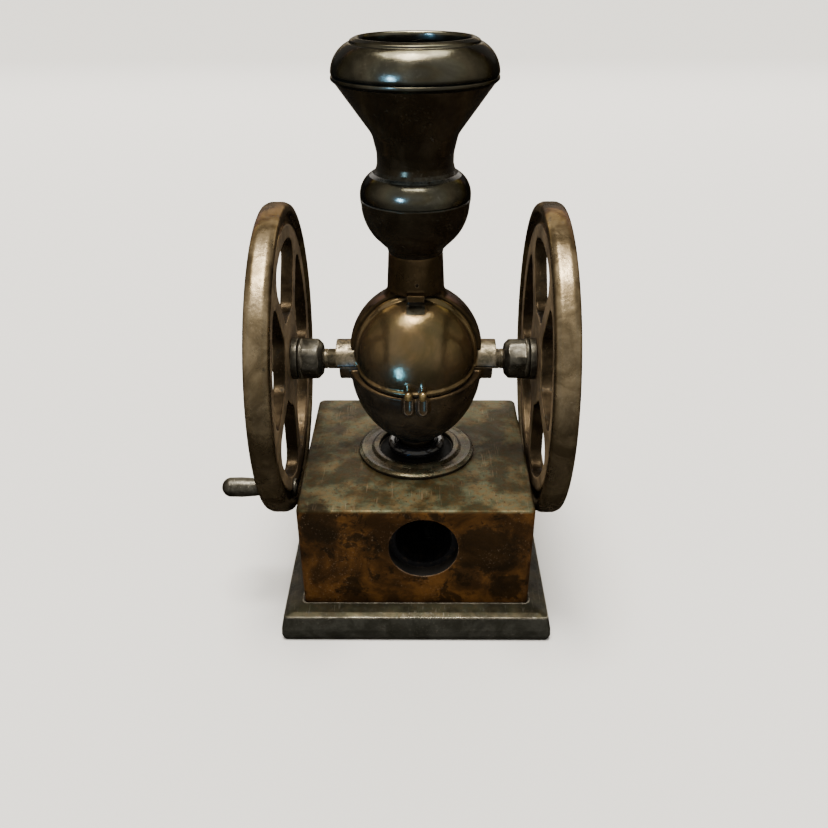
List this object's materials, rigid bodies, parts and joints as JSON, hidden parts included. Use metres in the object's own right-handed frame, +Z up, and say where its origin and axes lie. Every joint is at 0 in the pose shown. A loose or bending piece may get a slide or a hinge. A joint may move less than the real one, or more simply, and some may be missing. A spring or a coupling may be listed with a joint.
{
  "type": "miniature hand crank coffee mill",
  "caption": "Miniature hand-crank coffee mill with spoked flywheels, a funnel hopper, a crank handle and a square base that holds a pencil sharpener.",
  "frame": {"origin": "centre of the base's underside, on the bottom cover", "axes": "+Z up along the column, the hole in the base faces -Y, and the axle lies along X with the handle on the -X wheel"},
  "size_m": [0.0496, 0.0448, 0.0801],
  "materials": {
    "copper_bronze": "lacquered antique copper bronze, satin",
    "olive_bronze": "lacquered antique bronze with an olive tint, satin",
    "dark_bronze": "very dark brown lacquer, glossy",
    "wheel_bronze": "antique bronze with worn bright edges",
    "gunmetal": "dark plated metal, worn at the edges",
    "black_lacquer": "glossy black",
    "bare_zinc": "bare casting",
    "steel": "bare steel"
  },
  "bodies": {
    "stand": {"base_housing": "copper_bronze", "base_plinth": "olive_bronze", "bottom_cover": "olive_bronze", "cover_screw_left": "steel", "cover_screw_right": "steel", "sharpener_body": "bare_zinc", "sharpener_blade": "steel", "blade_screw": "steel", "base_collar": "olive_bronze", "foot_ring": "black_lacquer", "column_screw": "steel", "lower_bowl": "copper_bronze", "rear_body": "copper_bronze", "front_cover": "olive_bronze", "cover_rivet_left": "olive_bronze", "cover_rivet_right": "olive_bronze", "back_screw": "gunmetal", "hopper_cup": "dark_bronze", "hopper_funnel": "dark_bronze", "hopper_rim": "dark_bronze", "hopper_screw": "steel"},
    "wheels": {"axle": "gunmetal", "axle_sleeve": "steel", "left_wheel": "wheel_bronze", "right_wheel": "wheel_bronze", "left_hub_collar": "gunmetal", "right_hub_collar": "gunmetal", "left_hub_washer": "gunmetal", "right_hub_washer": "gunmetal", "left_axle_nut": "gunmetal", "right_axle_nut": "gunmetal", "crank_washer": "gunmetal"},
    "handle": {"crank_handle": "gunmetal"}
  },
  "joints": [
    {"name": "axle_spin", "type": "hinge", "parent": "stand", "child": "wheels", "pos_m": [0, 0, 0.0365], "axis": [1, 0, 0], "continuous": true},
    {"name": "crank_handle_spin", "type": "hinge", "parent": "wheels", "child": "handle", "pos_m": [-0.0245, -0.00805, 0.01923], "axis": [1, 0, 0], "continuous": true}
  ]
}
